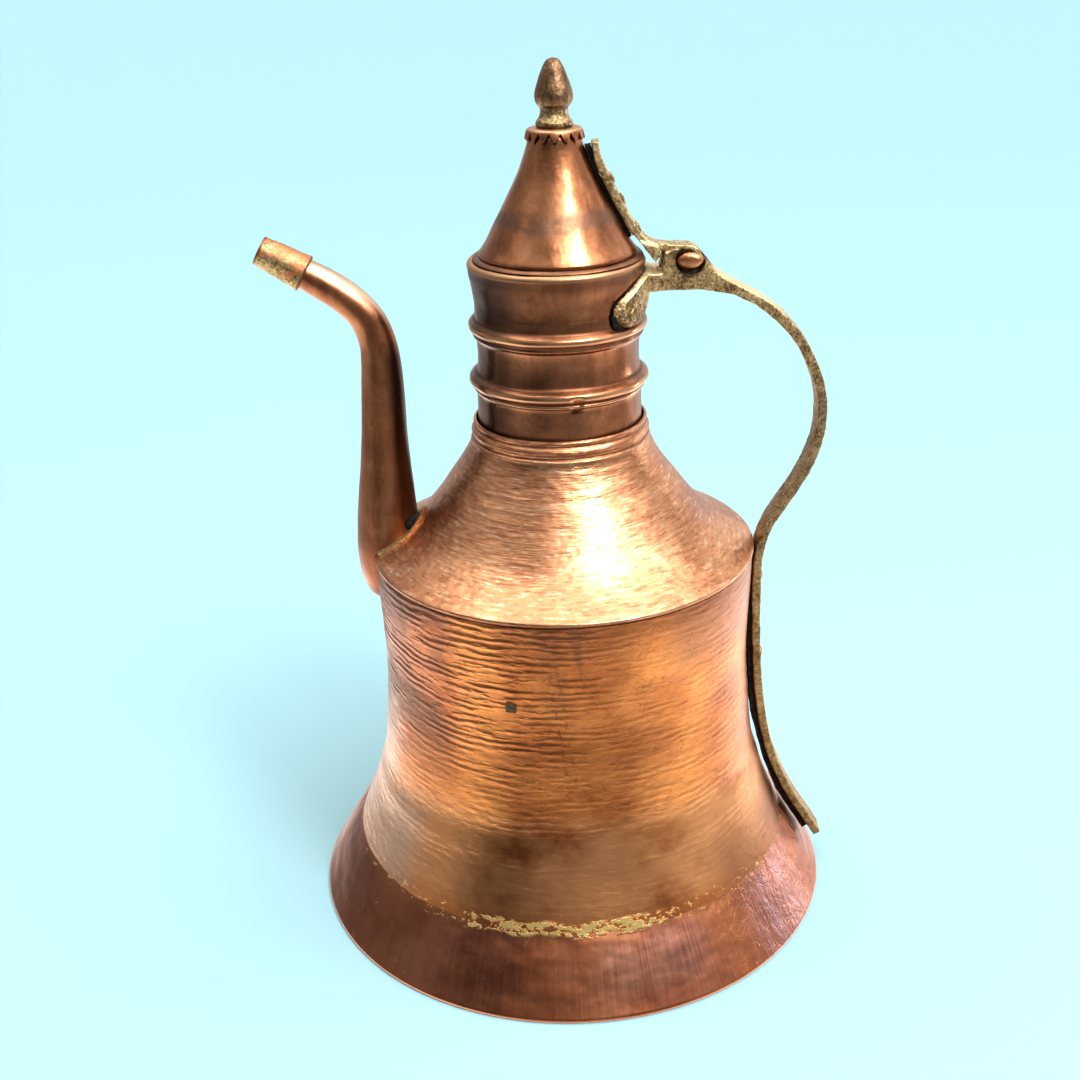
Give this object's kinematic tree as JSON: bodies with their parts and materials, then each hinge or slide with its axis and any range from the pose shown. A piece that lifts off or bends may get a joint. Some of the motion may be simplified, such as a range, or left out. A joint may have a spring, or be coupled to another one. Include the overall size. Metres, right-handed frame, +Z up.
{
  "type": "copper water jug",
  "caption": "Hammered copper ewer with a bell-shaped body, bent spout with a brass ferrule, cast brass handle and a conical lid that turns on a hinge pin.",
  "frame": {"origin": "middle of the flat base, on the surface that the jug stands on, under the axis of the body", "axes": "+Z up along the body's axis, +X from the axis towards the handle, and the spout lies towards -X"},
  "size_m": [0.2483, 0.24, 0.3783],
  "materials": {
    "hammered_copper": "hand hammered, burnished, with brown patina in the hollows",
    "smooth_copper": "planished smooth, warm brown, satin",
    "dark_copper": "dark brown patina, satin",
    "cast_brass": "sand cast, pitted, dark in the recesses, worn bright on the edges",
    "steel_wire": "plain drawn wire, hidden"
  },
  "bodies": {
    "jug": {"base_pan": "hammered_copper", "base_disc": "hammered_copper", "body_shell": "hammered_copper", "body_plug": "dark_copper", "shoulder_cone": "hammered_copper", "neck_tube": "smooth_copper", "rim_wire": "steel_wire", "spout_tube": "dark_copper", "spout_flange": "dark_copper", "spout_sleeve": "cast_brass", "handle": "cast_brass", "hinge_pin": "smooth_copper", "neck_fork_rivet_near": "cast_brass", "neck_fork_rivet_far": "cast_brass", "handle_tail_rivet_upper": "cast_brass", "handle_tail_rivet_lower": "cast_brass"},
    "lid": {"lid_cone": "smooth_copper", "lid_skirt": "smooth_copper", "crown_collar": "smooth_copper", "finial": "cast_brass", "finial_washer": "smooth_copper", "lid_strap": "cast_brass", "lid_strap_rivet_1": "cast_brass", "lid_strap_rivet_2": "cast_brass", "lid_strap_rivet_3": "cast_brass"}
  },
  "joints": [
    {"name": "lid_hinge", "type": "hinge", "parent": "jug", "child": "lid", "pos_m": [0.055, 0, 0.2983], "axis": [0, 1, 0], "range_deg": [0, 110]}
  ]
}
